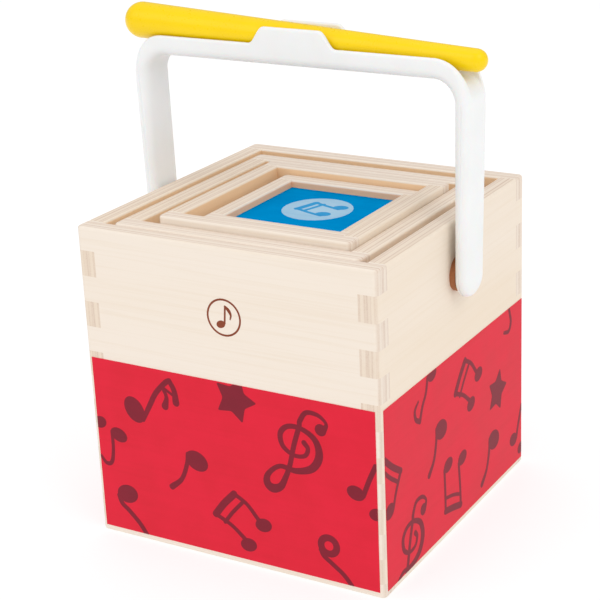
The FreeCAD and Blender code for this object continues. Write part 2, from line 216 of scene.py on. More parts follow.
@dataclass(frozen=True)
class BirchPlywood:
    """Five-ply birch plywood, sanded and sealed with a thin matt varnish.

    The face veneers are almost cream, with fine level streaks. Where a board is cut across, every
    other ply shows its end grain, which drinks the varnish and looks a darker pinkish brown. The
    inward faces are painted a warmer orange-tan, a painted bounce light for the amber glow that
    light takes between wood faces. Its face and thickness are in metres.
    """

    name: str
    depth_axis: int
    grain_axis: int
    face: float
    thickness: float
    # How far the veneer leans to its warm tone. The boxes set it by wall; the side walls' larger share is
    # painted shade.
    warmth: float = 0.5
    # The inward faces' colour: painted bounce light, the amber glow of light between wood faces.
    inside: str = "#F9D6AE"

    CREAM = "#F2E7DB"
    STREAK = "#EEE1D2"
    WARM = "#ECDAC2"
    END = "#D3BBA8"
    PORE = "#C3A48E"
    RIM_LINE = "#BC937A"
    END_CONTRAST = 0.85
    RIM_CONTRAST = 0.95
    # Dark end grain on its cut ends, from the outer face inwards: the share of its thickness, then how dark.
    END_BANDS = ((0.03, 0.1), (0.06, 0.75), (0.16, 0.7), (0.20, 0.25), (0.30, 0.3), (0.34, 0.8), (0.38, 0.4),
                 (0.48, 0.4), (0.52, 0.9), (0.60, 0.6), (0.66, 0.9), (0.71, 0.25), (0.86, 0.2), (0.90, 0.65))
    # Thin glue lines and darker cross plies along its rims, in the same way.
    RIM_BANDS = ((0.12, 0.0), (0.16, 0.55), (0.24, 0.1), (0.34, 0.2), (0.38, 0.9), (0.42, 0.15), (0.62, 0.1),
                 (0.66, 0.7), (0.70, 0.15), (0.84, 0.5), (0.90, 0.0))
    # Birch rings on a peeled face are 1 to 2 mm apart, and a streak runs on for about 110 mm.
    STREAK_WIDTH = 1.6
    STREAK_LENGTH = 110.0
    # Real pores are about 0.1 mm wide and the fibres between them thinner; both are drawn coarser, to show.
    PORE_WIDTH = 0.4
    FIBRE_WIDTH = 0.65
    FIBRE_LENGTH = 33.0
    # The tone drifts slowly, and five times as slowly along the grain, down to this share of its warmth.
    CLOUD_WIDTH = 38.0
    CLOUD_LENGTH = 190.0
    LEAST_WARM = 0.4
    # The plies wander by a twentieth of the board's thickness, about every 28 mm.
    WAVER_LENGTH = 28.0
    WAVER = 0.05
    # Sanding leaves the grain proud and the end grain sunk, by hundredths of a millimetre.
    GRAIN_PROUD = 0.7
    END_SUNK = -0.6
    RELIEF = 0.05

    def veneer(self, tree: NodeTree,
               coords: NodeSocket) -> tuple[Node, NodeSocket]:
        """Draw the face veneer.

        Args:
            tree: The material's node tree.
            coords: Places in metres.

        Returns:
            The streaks of its grain, and its colour.
        """
        scale = drawn_out(self.STREAK_WIDTH, self.grain_axis, self.STREAK_LENGTH)
        grain = add(tree, "VectorMath", {0: coords, 1: scale}, operation="MULTIPLY")
        streaks = add(tree, "TexNoise", {"Vector": grain, "Scale": 1.0, "Detail": 4.0, "Roughness": 0.6,
                                         "Distortion": 0.4})
        scale = drawn_out(self.CLOUD_WIDTH, self.grain_axis, self.CLOUD_LENGTH)
        drift = add(tree, "VectorMath", {0: coords, 1: scale}, operation="MULTIPLY")
        clouds = add(tree, "TexNoise", {"Vector": drift, "Scale": 1.0, "Detail": 3.0})
        stops = ((0.30, self.STREAK), (0.52, self.CREAM), (0.75, self.CREAM))
        tone = add(tree, "ValToRGB", {"Fac": streaks}, stops)
        stops = ((0.3, self.warmth * self.LEAST_WARM), (0.7, self.warmth))
        warmth = add(tree, "ValToRGB", {"Fac": clouds}, stops)
        mixed = add(tree, "Mix", {0: warmth, 6: tone, 7: linear(self.WARM)}, data_type="RGBA")
        return streaks, mixed.outputs[2]

    def cut_plies(self, tree: NodeTree, coords: NodeSocket,
                  facing: Sequence[NodeSocket]) -> list[Node]:
        """Draw the bands of the plies where the board is cut.

        Args:
            tree: The material's node tree.
            coords: Places in metres.
            facing: The surface's direction along X, Y and Z.

        Returns:
            The share of dark end grain, and the share of lines along the rims.
        """
        along = add(tree, "SeparateXYZ", {0: coords}).outputs
        waver = add(tree, "TexNoise", {"Vector": coords, "Scale": cells(self.WAVER_LENGTH), "Detail": 2.0})
        waver = add(tree, "Math", {0: waver, 1: 0.5}, operation="SUBTRACT")
        depth = add(tree, "Math", {0: along[self.depth_axis], 1: self.face}, operation="SUBTRACT")
        depth = add(tree, "Math", {0: depth, 1: self.thickness}, operation="DIVIDE")
        depth = add(tree, "Math", {0: waver, 1: self.WAVER, 2: depth}, operation="MULTIPLY_ADD",
                    use_clamp=True)
        scale = drawn_out(self.FIBRE_LENGTH, self.depth_axis, self.FIBRE_WIDTH)
        fibre = add(tree, "VectorMath", {0: coords, 1: scale}, operation="MULTIPLY")
        fibre = add(tree, "TexNoise", {"Vector": fibre, "Scale": 1.0, "Detail": 2.0})
        fibre = add(tree, "MapRange", {0: fibre, 1: 0.35, 2: 0.65, 3: 0.55, 4: 1.0})
        cross_axis = X + Y + Z - self.depth_axis - self.grain_axis
        shares = []
        for axis, contrast, bands in ((self.grain_axis, self.END_CONTRAST, self.END_BANDS),
                                      (cross_axis, self.RIM_CONTRAST, self.RIM_BANDS)):
            cut = add(tree, "Math", {0: facing[axis]}, operation="ABSOLUTE")
            cut = add(tree, "Math", {0: cut, 1: contrast}, operation="MULTIPLY")
            band = add(tree, "ValToRGB", {"Fac": depth}, bands)
            band = add(tree, "Math", {0: band, 1: fibre}, operation="MULTIPLY")
            shares.append(add(tree, "Math", {0: cut, 1: band}, operation="MULTIPLY"))
        return shares

    def build(self) -> Material:
        """Make the material; its plies lie through the board's own thickness."""
        made, tree, coords = new_material(self.name)
        facing = add(tree, "SeparateXYZ", {0: add(tree, "TexCoord").outputs["Normal"]}).outputs
        streaks, colour = self.veneer(tree, coords)
        end_grain, rim_line = self.cut_plies(tree, coords, facing)
        # Faces that look into the box take the inside colour, a painted bounce light.
        inner_side = -1.0 if self.thickness < 0 else 1.0
        inwards = add(tree, "Math", {0: facing[self.depth_axis], 1: inner_side}, operation="MULTIPLY")
        painted_glow_mask = add(tree, "MapRange", {0: inwards, 1: 0.9, 2: 1.0})
        pores = add(tree, "TexNoise", {"Vector": coords, "Scale": cells(self.PORE_WIDTH), "Detail": 1.0})
        end_tone = add(tree, "ValToRGB", {"Fac": pores}, ((0.3, self.PORE), (0.5, self.END), (0.8, self.END)))
        for share, tone in ((end_grain, end_tone), (rim_line, linear(self.RIM_LINE)),
                            (painted_glow_mask, linear(self.inside))):
            colour = add(tree, "Mix", {0: share, 6: colour, 7: tone}, data_type="RGBA").outputs[2]
        sunk = add(tree, "Math", {0: end_grain, 1: self.END_SUNK}, operation="MULTIPLY")
        relief = add(tree, "Math", {0: streaks, 1: self.GRAIN_PROUD, 2: sunk}, operation="MULTIPLY_ADD")
        return finished(made, {
            "Base Color": colour,
            "Normal": add(tree, "Bump", {"Height": relief, "Strength": 0.35, "Distance": self.RELIEF * MM}),
            "Roughness": add(tree, "MapRange", {0: streaks, 3: 0.62, 4: 0.5}),
            "Specular IOR Level": 0.35,
        })


@dataclass(frozen=True)
class ScreenInk:
    """Screen-printed paint on sanded plywood, which lies satin and thin, so the grain lifts it a little."""

    name: str
    colour: str
    deep: str
    grain_axis: int = X
    roughness: float = 0.5
    gloss: float = 0.2

    # The veneer's grain under the ink, and the slow mottle that a squeegee leaves.
    GRAIN_WIDTH = 1.9
    GRAIN_LENGTH = 70.0
    MOTTLE_WIDTH = 17.0
    RELIEF = 0.03

    def build(self) -> Material:
        """Make the material."""
        made, tree, coords = new_material(self.name)
        scale = drawn_out(self.GRAIN_WIDTH, self.grain_axis, self.GRAIN_LENGTH)
        grain = add(tree, "VectorMath", {0: coords, 1: scale}, operation="MULTIPLY")
        lines = add(tree, "TexNoise", {"Vector": grain, "Scale": 1.0, "Detail": 3.0})
        mottle = add(tree, "TexNoise", {"Vector": coords, "Scale": cells(self.MOTTLE_WIDTH), "Detail": 4.0})
        shade = add(tree, "Math", {0: mottle, 1: 0.7}, operation="MULTIPLY")
        shade = add(tree, "Math", {0: lines, 1: 0.3, 2: shade}, operation="MULTIPLY_ADD")
        smoothest, roughest = self.roughness - 0.05, self.roughness + 0.06
        return finished(made, {
            "Base Color": add(tree, "ValToRGB", {"Fac": shade}, ((0.35, self.deep), (0.6, self.colour))),
            "Normal": add(tree, "Bump", {"Height": lines, "Strength": 0.16, "Distance": self.RELIEF * MM}),
            "Roughness": add(tree, "MapRange", {0: mottle, 3: smoothest, 4: roughest}),
            "Specular IOR Level": self.gloss,
        })


@dataclass(frozen=True)
class MouldedPlastic:
    """Injection-moulded plastic with a soft satin skin and the faint waviness of a polished mould."""

    name: str
    colour: str
    shade: str
    roughness: float
    subsurface: float = 0.0

    # A polished mould's waves are about 22 mm long. Its satin grain is about 0.05 mm, drawn coarser, to show.
    RIPPLE_LENGTH = 22.0
    SKIN_GRAIN = 0.55
    RELIEF = 0.15
    # Light goes about 2 mm into it.
    LIGHT_DEPTH = 2.0

    def build(self) -> Material:
        """Make the material."""
        made, tree, coords = new_material(self.name)
        ripple = add(tree, "TexNoise", {"Vector": coords, "Scale": cells(self.RIPPLE_LENGTH), "Detail": 2.0})
        skin = add(tree, "TexNoise", {"Vector": coords, "Scale": cells(self.SKIN_GRAIN), "Detail": 1.0})
        height = add(tree, "Math", {0: skin, 1: 0.06, 2: ripple}, operation="MULTIPLY_ADD")
        smoothest, roughest = self.roughness - 0.04, self.roughness + 0.05
        return finished(made, {
            "Base Color": add(tree, "ValToRGB", {"Fac": ripple}, ((0.25, self.shade), (0.65, self.colour))),
            "Normal": add(tree, "Bump", {"Height": height, "Strength": 0.2, "Distance": self.RELIEF * MM}),
            "Roughness": add(tree, "MapRange", {0: skin, 3: smoothest, 4: roughest}),
            "Subsurface Weight": self.subsurface,
            "Subsurface Scale": self.LIGHT_DEPTH * MM,
        })


@dataclass(frozen=True)
class LacqueredBeech:
    """Turned beech under two coats of sprayed lacquer: even colour, soft lathe rings and orange peel."""

    name: str
    colour: str
    shade: str

    # Sanded lathe rings are 3 to 4 mm apart, sprayed orange peel about 2 mm, and the tone drifts every 36 mm.
    RING_SPACING = 3.3
    RING_LENGTH = 125.0
    PEEL_WIDTH = 1.8
    CLOUD_WIDTH = 36.0
    RELIEF = 0.06

    def build(self) -> Material:
        """Make the material."""
        made, tree, coords = new_material(self.name)
        scale = drawn_out(self.RING_LENGTH, X, self.RING_SPACING)
        turned = add(tree, "VectorMath", {0: coords, 1: scale}, operation="MULTIPLY")
        rings = add(tree, "TexNoise", {"Vector": turned, "Scale": 1.0, "Detail": 3.0})
        peel = add(tree, "TexNoise", {"Vector": coords, "Scale": cells(self.PEEL_WIDTH), "Detail": 1.0})
        clouds = add(tree, "TexNoise", {"Vector": coords, "Scale": cells(self.CLOUD_WIDTH), "Detail": 3.0})
        height = add(tree, "Math", {0: peel, 1: 0.5}, operation="MULTIPLY")
        height = add(tree, "Math", {0: rings, 1: 0.5, 2: height}, operation="MULTIPLY_ADD")
        return finished(made, {
            "Base Color": add(tree, "ValToRGB", {"Fac": clouds}, ((0.3, self.shade), (0.62, self.colour))),
            "Normal": add(tree, "Bump", {"Height": height, "Strength": 0.3, "Distance": self.RELIEF * MM}),
            "Roughness": add(tree, "MapRange", {0: peel, 3: 0.24, 4: 0.34}),
            "Specular IOR Level": 0.25,
            "Coat Weight": 0.08,
            "Coat Roughness": 0.16,
        })


@dataclass(frozen=True)
class ZincPlatedSteel:
    """Turned steel pin, bright zinc plated: a grey metal with fine rings from the lathe."""

    name: str

    DULL = "#A9ABAD"
    BRIGHT = "#C9CBCC"
    # Turning marks are about 0.1 mm apart, drawn coarser, to show.
    RING_SPACING = 0.4
    RING_LENGTH = 17.0

    def build(self) -> Material:
        """Make the material."""
        made, tree, coords = new_material(self.name)
        scale = drawn_out(self.RING_LENGTH, X, self.RING_SPACING)
        turned = add(tree, "VectorMath", {0: coords, 1: scale}, operation="MULTIPLY")
        rings = add(tree, "TexNoise", {"Vector": turned, "Scale": 1.0, "Detail": 2.0})
        return finished(made, {
            "Base Color": add(tree, "ValToRGB", {"Fac": rings}, ((0.3, self.DULL), (0.7, self.BRIGHT))),
            "Roughness": add(tree, "MapRange", {0: rings, 3: 0.28, 4: 0.42}),
            "Metallic": 1.0,
        })


# ---- printed motifs


def smooth_line(points: Sequence[Sequence[float]], steps: int = 6) -> list[Vector]:
    """Put a smooth line through points, each of its place and its width.

    Args:
        points: (x, y, width) in millimetres.
        steps: Samples from point to point.

    Returns:
        The samples, as vectors of x, y and width.
    """
    knots = [Vector(p) for p in points]
    knots = [2 * knots[0] - knots[1]] + knots + [2 * knots[-1] - knots[-2]]
    samples = []
    for before, start, end, after in zip(knots, knots[1:], knots[2:], knots[3:]):
        bend = 2 * before - 5 * start + 4 * end - after
        twist = 3 * start - before - 3 * end + after
        for step in range(steps):
            t = step / steps
            samples.append(0.5 * (2 * start + (end - before) * t + bend * t ** 2 + twist * t ** 3))
    return samples + [knots[-2]]


def hull(points: Polygon) -> Polygon:
    """Put a few points in order round their convex outline, anticlockwise."""
    rim = [points[i] for i in convex_hull_2d([Vector(p) for p in points])]
    twice_area = sum(a[0] * b[1] - b[0] * a[1] for a, b in zip(rim, rim[1:] + rim[:1]))
    return rim if twice_area > 0 else rim[::-1]


@dataclass(frozen=True)
class Blob:
    """An oval note head, in millimetres about its motif's middle."""

    x: float
    y: float
    half_length: float
    half_width: float
    turn: float = 0.0

    CORNERS = 28

    def polygons(self) -> list[Polygon]:
        """Outline the oval."""
        turn = Matrix.Rotation(math.radians(self.turn), 2)
        rim = [turn @ Vector((self.half_length * x, self.half_width * y))
               for x, y in arc((0, 0), 1, 0, 360, self.CORNERS)[:-1]]
        return [[(self.x + corner.x, self.y + corner.y) for corner in rim]]


@dataclass(frozen=True)
class Stroke:
    """A brushed line of changing width, in millimetres about its motif's middle."""

    points: tuple[tuple[float, float, float], ...]

    def polygons(self) -> list[Polygon]:
        """Outline the line as joined convex pieces with round ends."""
        samples = smooth_line(self.points)
        sides = []
        for i, here in enumerate(samples):
            run = samples[min(i + 1, len(samples) - 1)] - samples[max(i - 1, 0)]
            across = Vector((-run.y, run.x)).normalized() * here.z / 2
            sides.append(((here.x - across.x, here.y - across.y), (here.x + across.x, here.y + across.y)))
        pieces = [hull([a[0], b[0], b[1], a[1]]) for a, b in zip(sides, sides[1:])]
        for end in (samples[0], samples[-1]):
            pieces += Blob(end.x, end.y, end.z / 2, end.z / 2).polygons()
        return pieces


@dataclass(frozen=True)
class Ring:
    """A round ring, in millimetres about its motif's middle."""

    x: float
    y: float
    radius: float
    width: float

    CORNERS = 36

    def polygons(self) -> list[Polygon]:
        """Outline the ring as four-sided pieces."""
        inner, outer = (arc((self.x, self.y), self.radius + side * self.width / 2, 0, 360, self.CORNERS)
                        for side in (-1, 1))
        return [list(piece) for piece in zip(inner, outer, outer[1:], inner[1:])]


@dataclass(frozen=True)
class FivePointStar:
    """A star with softened tips, in millimetres about its motif's middle."""

    reach: float
    waist: float

    TIPS = 5
    SOFT = 0.16
    CURVE_STEPS = 4

    def polygons(self) -> list[Polygon]:
        """Outline the star, each corner rounded by a short curve."""
        corners = []
        for i in range(2 * self.TIPS):
            radius = self.waist if i % 2 else self.reach
            angle = math.radians(90 + 180 / self.TIPS * i)
            corners.append(Vector((radius * math.cos(angle), radius * math.sin(angle))))
        rim = []
        for i, corner in enumerate(corners):
            near = corner.lerp(corners[i - 1], self.SOFT)
            far = corner.lerp(corners[(i + 1) % len(corners)], self.SOFT)
            for step in range(self.CURVE_STEPS + 1):
                t = step / self.CURVE_STEPS
                bend = near.lerp(corner, t).lerp(corner.lerp(far, t), t)
                rim.append((bend.x, bend.y))
        middle = (0.0, 0.0)
        return [[middle, a, b] for a, b in zip(rim, rim[1:] + rim[:1])]


class Motif(Enum):
    """The shapes of the print's artwork."""

    TUMBLING_PAIR = (
        Blob(-8.8, -7, 6.7, 5, -57),
        Stroke(((-4.4, -11.2, 2.2), (0, -3.1, 2.6), (3.8, 3.5, 2.6), (9.2, 9.3, 2.6), (11.5, 10.7, 2.6))),
        Stroke(((11.5, 10.7, 2.6), (13.8, 6.3, 2.8), (14.4, 0.6, 3.6))),
        Stroke(((7.6, 7, 2), (9.4, 2.4, 2), (8.3, -2.2, 3.6))),
        Stroke(((8.6, 6.4, 1.4), (12.6, 4.2, 1.4))),
    )
    HANGING_EIGHTH = (
        Blob(0, 0, 4.7, 3.4, -18),
        Stroke(((-3.8, 1, 1.8), (-3.9, -7.8, 1.8), (-5.3, -14.6, 2), (-8.4, -15.8, 2),
                (-11.2, -12.6, 1.4))),
    )
    HOOKED_EIGHTH = (
        Blob(0, 0, 4.6, 3.8, -8),
        Stroke(((-4.1, -0.6, 2.2), (-6, -7.1, 2), (-9.5, -12, 2), (-12.2, -18, 2.4))),
        Stroke(((-12.2, -18, 2.6), (-16, -15.6, 2.2), (-16.8, -11.2, 2), (-13.4, -8.2, 1.2))),
    )
    NOTE = (
        Blob(0.4, 0, 6.1, 4.7, -22),
        Stroke(((-4.3, 2.6, 2), (-5, -2.6, 2.2), (-8.4, -10.7, 2.2), (-14.1, -15.8, 3))),
    )
    DROPPED_NOTE = (
        Blob(0, 0, 5.8, 4.6, 12),
        Stroke(((-5, -1.8, 2.4), (-3.6, -5.6, 2.5), (0.3, -8.8, 2.5), (5.5, -13.9, 2.5),
                (9, -18.8, 2.5))),
    )
    STAR = (FivePointStar(11.2, 6.1),)
    SIXTEENTHS = (
        Stroke(((-2.6, 10.7, 3.4), (-8.4, 4.6, 3.4), (-13.1, -1.6, 3.4))),
        Stroke(((1.2, 7, 1.8), (-4.2, 1, 1.8), (-8.4, -4.6, 1.8))),
        Stroke(((-2.6, 10.7, 2.2), (3.8, 7, 2), (9.4, 0.6, 2.2))),
        Stroke(((-13.1, -1.6, 2.2), (-5, -5.4, 2), (1.6, -10.6, 2.2))),
        Blob(12, -1.6, 4.3, 3.3, 13),
        Blob(3.6, -13.3, 4.3, 3.3, 13),
    )
    CLEF = (
        Stroke(((13.2, 13.8, 5.6), (14.6, 14.2, 3.4), (16, 17.2, 1.6), (12.2, 20.4, 2), (6.4, 20.6, 2.2),
                (3.2, 16.2, 2.4), (2.6, 13.3, 2.4), (-0.3, 4.2, 2.4), (-2.8, -5.8, 2.4), (-5.2, -12.1, 2.6),
                (-8, -17.2, 3.4), (-12.2, -18.9, 4.4), (-14.9, -16.6, 3.8), (-13.9, -12.1, 2.6),
                (-7.9, -7.4, 2.2), (0.1, -8.1, 2.8), (8.1, -5.4, 3.6), (12, 1.1, 3.8), (10.4, 8.3, 3),
                (4.1, 12.4, 2.4), (-2.9, 12.5, 2.4), (-6.9, 8.5, 2.6), (-5.9, 2.6, 2.4), (-0.6, -0.7, 2),
                (4.8, 0, 2), (6.6, 3.6, 2.2), (4.8, 6.2, 2.6))),
    )
    RISING_NOTE = (
        Blob(0, 0, 4.4, 3.4, -14),
        Stroke(((3.6, -0.6, 2.2), (6.5, 7, 2.3), (9.9, 14.6, 2.3))),
    )
    RING_NOTE = (
        Ring(0, 0, 3.9, 3.3),
        Stroke(((-4.1, -2.8, 2.2), (-2.6, -5.6, 2.3), (1.2, -8.3, 2.3), (7, -12.6, 2.3),
                (10.8, -17, 2.3))),
    )
    HANGING_PAIR = (
        Blob(-6.9, 12.1, 4.6, 3.4, 10),
        Blob(8.2, 9.1, 4.6, 3.4, 10),
        Stroke(((-11, 11.2, 2), (-10.4, 0, 2), (-10.2, -10.1, 2))),
        Stroke(((4.1, 8, 2), (5.4, -4, 2), (5.9, -14.4, 2))),
        Stroke(((-10.2, -3.4, 1.8), (-2, -5.4, 1.8), (5.6, -8.4, 1.8))),
        Stroke(((-10.2, -9.9, 3.4), (-2, -11.8, 3.4), (5.9, -14.1, 3.4))),
    )
    SLIDING_PAIR = (
        Stroke(((-8, 13.5, 3), (-1, 7.4, 3), (6.4, 2.3, 3))),
        Stroke(((-9.5, 9, 2), (-3.4, 3.4, 2), (3.1, -1.3, 2))),
        Stroke(((6.4, 2.3, 2.2), (1.5, -6, 2), (-1, -12, 2))),
        Blob(-4.4, -12, 4.3, 3.5, 15),
    )
    HOOK = (
        Stroke(((-0.6, 9.5, 2), (1.6, 3.4, 2), (2.9, -1.6, 2.2), (0.4, -5.4, 2.2), (-5, -4.4, 1.8))),
    )
    DOT = (Blob(0, 0, 3.6, 2.9, 20),)
    DISC = (Blob(0, 0, 16.5, 16.5),)
    STAMP = (
        Ring(0, 0, 8.2, 0.9),
        Blob(-1.7, -3.3, 2.3, 1.7, 22),
        Stroke(((0.3, -2.6, 0.9), (0.6, 1.4, 0.9), (0.9, 5.2, 0.9))),
        Stroke(((0.9, 5.2, 1), (2.6, 3.6, 1.6), (3.6, 1.6, 1), (3.2, -0.4, 0.6))),
    )
    LID_NOTES = (
        Stroke(((-6.3, -4.1, 3.4), (-4.2, 1.8, 3.4), (-2.4, 7.6, 3.4))),
        Stroke(((-1.6, -5, 2), (0.4, 1, 2), (2.2, 6.8, 2))),
        Stroke(((-6.3, -4.1, 2.2), (2, -7.2, 2), (9.6, -9.4, 2.2))),
        Stroke(((-2.4, 7.6, 2.2), (5.6, 4.8, 2), (12.8, 2.6, 2.2))),
        Blob(9.4, -6.8, 3.9, 3.1, 10),
        Blob(12.4, 5.2, 3.9, 3.1, 10),
    )


@dataclass(frozen=True)
class Placed:
    """A motif on a face: millimetres across from the face's middle and up from the box's underside."""

    motif: Motif
    across: float
    up: float
    turn: float = 0.0
    size: float = 1.0

    def polygons(self) -> list[Polygon]:
        """Put the motif's outlines in their place."""
        turn = Matrix.Rotation(math.radians(self.turn), 2) * self.size
        out = []
        for shape in self.motif.value:
            for polygon in shape.polygons():
                moved = [turn @ Vector(p) for p in polygon]
                out.append([(p.x + self.across, p.y + self.up) for p in moved])
        return out


class Artwork(Enum):
    """The scattered motifs of each printed face, seen from outside, each as the fields of Placed."""

    FRONT = (
        (Motif.TUMBLING_PAIR, -42, 73),
        (Motif.DOT, -71, 56),
        (Motif.HANGING_EIGHTH, -60.9, 51.4),
        (Motif.DROPPED_NOTE, -58.7, 21.8),
        (Motif.NOTE, -19, 46.9),
        (Motif.STAR, 3.6, 81, -18),
        (Motif.SIXTEENTHS, 3, 24),
        (Motif.CLEF, 33, 61),
        (Motif.RISING_NOTE, 62.3, 48.6),
        (Motif.DOT, 72, 40.5),
        (Motif.RING_NOTE, 48, 20),
    )
    RIGHT = (
        (Motif.CLEF, -51, 12.2),
        (Motif.SLIDING_PAIR, -65, 52),
        (Motif.HOOKED_EIGHTH, -27.4, 87.4),
        (Motif.NOTE, -19.1, 56.7, 6),
        (Motif.HANGING_PAIR, -5, 24),
        (Motif.SIXTEENTHS, 9.5, 69.5),
        (Motif.STAR, 43, 50.6, -17),
        (Motif.NOTE, 38.4, 26.8, 4, 1.05),
        (Motif.RISING_NOTE, 62.5, 16.6),
        (Motif.DOT, 71.5, 8.5),
        (Motif.HOOK, 56.2, 82),
    )
    BACK = (
        (Motif.SIXTEENTHS, -52, 66, 20),
        (Motif.NOTE, -58, 32, 12),
        (Motif.STAR, -34, 14, 10),
        (Motif.RING_NOTE, -22, 78, 24),
        (Motif.CLEF, -12, 44, -6),
        (Motif.HANGING_EIGHTH, 18, 76, 8),
        (Motif.RISING_NOTE, 14, 15, 10),
        (Motif.HANGING_PAIR, 38, 48, -8),
        (Motif.DOT, 40, 80),
        (Motif.TUMBLING_PAIR, 54, 18, -12),
        (Motif.NOTE, 68, 76, 30),
    )
    LEFT = (
        (Motif.STAR, -58, 74, 30),
        (Motif.TUMBLING_PAIR, -54, 38, 6),
        (Motif.DROPPED_NOTE, -34, 20, -6),
        (Motif.HANGING_PAIR, -20, 68, 12),
        (Motif.RISING_NOTE, -2, 32, 4),
        (Motif.CLEF, 25, 54, 8),
        (Motif.NOTE, 24, 14, -10),
        (Motif.HOOKED_EIGHTH, 52, 80, 10),
        (Motif.SIXTEENTHS, 56, 34, -8),
        (Motif.RING_NOTE, -66, 8, 20),
    )


class Side(Enum):
    """A box's faces, each as (direction across it, direction up it, outward direction)."""

    FRONT = ((1, 0, 0), (0, 0, 1), (0, -1, 0))
    RIGHT = ((0, 1, 0), (0, 0, 1), (1, 0, 0))
    BACK = ((-1, 0, 0), (0, 0, 1), (0, 1, 0))
    LEFT = ((0, -1, 0), (0, 0, 1), (-1, 0, 0))
    TOP = ((1, 0, 0), (0, 1, 0), (0, 0, 1))


@dataclass
class InkLayer:
    """A thin layer of ink on a flat face, in the shape of some motifs, trimmed to the printed area."""

    name: str
    side: Side
    low: Vector
    high: Vector
    middle: Vector
    motifs: Iterable[Placed]
    material: Material

    PROUD = 0.04
    SUNK = 0.05
    # Triangles inside the outlines, whose points are joined when they are nearer than this in millimetres.
    INSIDE = 1
    WELD = 1e-4

    def build(self) -> Object:
        """Join the motifs' outlines, trim them and give them their thickness."""
        across, up, out = (Vector(direction) for direction in self.side.value)
        low, high, middle = (corner / MM for corner in (self.low, self.high, self.middle))
        left, right = sorted(((low - middle).dot(across), (high - middle).dot(across)))
        foot, top = sorted(((low - middle).dot(up), (high - middle).dot(up)))
        outlines: list[Polygon] = [[(left, foot), (right, foot), (right, top), (left, top)]]
        for placed in self.motifs:
            outlines += placed.polygons()
        points: list[Point] = []
        loops = []
        for outline in outlines:
            loops.append(list(range(len(points), len(points) + len(outline))))
            points += outline
        flat, _, faces, _, _, sources = delaunay_2d_cdt([Vector(p) for p in points], [], loops, self.INSIDE,
                                                        self.WELD)
        # Ink lies where the printed area, outline 0, and a motif overlap.
        kept = [face for face, source in zip(faces, sources) if 0 in source and len(source) > 1]

        surface = max(low.dot(out), high.dot(out))
        base = middle - out * middle.dot(out)
        used = sorted({corner for face in kept for corner in face})
        number = {corner: i for i, corner in enumerate(used)}
        verts = []
        for height in (surface + self.PROUD, surface - self.SUNK):
            verts += [(base + across * flat[i].x + up * flat[i].y + out * height) * MM for i in used]
        count = len(used)
        facing = 1 if across.cross(up).dot(out) > 0 else -1
        solid = []
        edges: dict[tuple[int, int], None] = {}
        for face in kept:
            loop = [number[i] for i in face][::facing]
            solid += [loop, [i + count for i in reversed(loop)]]
            edges.update(dict.fromkeys(zip(loop, loop[1:] + loop[:1])))
        solid += [[b, a, a + count, b + count] for a, b in edges if (b, a) not in edges]
        return new_piece(self.name, verts, solid, self.material)


# ---- the boxes


@dataclass(frozen=True)
class InkPair:
    """The ground colour of a printed box and the darker colour of its motifs, each with its mottle."""

    ground: str
    deep: str
    motif: str
    motif_deep: str


@dataclass
class MusicBox:
    """One box of the nest: four walls, a base, four prints and the motifs on them."""

    prefix: str
    inks: InkPair
    artworks: tuple[Artwork, Artwork, Artwork, Artwork]
    wall: float
    slot: str
    # The inward faces' colour: painted bounce light, the amber glow of light between wood faces.
    inside: str = "#F9D6AE"
    body: str = field(init=False)

    FACES = (("front", Side.FRONT, X), ("right", Side.RIGHT, Y), ("back", Side.BACK, X),
             ("left", Side.LEFT, Y))
    BASE_THICK = 5.0
    # The side walls are toned warmer and darker than the front and back: painted shade of the sides.
    SIDE_SHADE_WARMTH = {X: 0.3, Y: 0.75}

    def __post_init__(self) -> None:
        """Name the body that the box's pieces move with."""
        self.body = self.prefix + "_box"

    def dress_walls(self) -> None:
        """Give each wall and the base plywood whose plies lie through that board."""
        for word, side, grain_axis in self.FACES:
            node = f"{self.prefix}_{word}_wall"
            low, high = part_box(node)
            depth_axis = Y if grain_axis == X else X
            sign = side.value[2][depth_axis]
            face = (high if sign > 0 else low)[depth_axis]
            ply = BirchPlywood(f"{node}_birch_plywood", depth_axis, grain_axis, face, -sign * self.wall * MM,
                               self.SIDE_SHADE_WARMTH[grain_axis], self.inside)
            give(node, ply.build())
        node = f"{self.prefix}_base"
        low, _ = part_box(node)
        give(node, BirchPlywood(f"{node}_birch_plywood", Z, X, low.z, self.BASE_THICK * MM).build())

    def dress_prints(self) -> None:
        """Ink the four prints and lay the motifs on them."""
        centre = self._middle()
        for (word, side, grain_axis), artwork in zip(self.FACES, self.artworks):
            node = f"{self.prefix}_{word}_print"
            give(node, ScreenInk(f"{node}_ink", self.inks.ground, self.inks.deep, grain_axis).build())
            dark = ScreenInk(f"{node}_motif_ink", self.inks.motif, self.inks.motif_deep, grain_axis).build()
            low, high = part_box(node)
            spots = [Placed(*spot) for spot in artwork.value]
            piece = InkLayer(f"{self.prefix}_{word}_motifs", side, low, high, centre, spots, dark).build()
            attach(piece, self.body)

    def _middle(self) -> Vector:
        """Find the middle of the box's underside."""
        left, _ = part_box(f"{self.prefix}_left_wall")
        _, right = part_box(f"{self.prefix}_right_wall")
        front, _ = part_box(f"{self.prefix}_front_wall")
        _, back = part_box(f"{self.prefix}_back_wall")
        return Vector(((left.x + right.x) / 2, (front.y + back.y) / 2, front.z))

    def build(self) -> None:
        """Dress the whole box."""
        self.dress_walls()
        self.dress_prints()
        LOG.info("%s dressed", self.body)


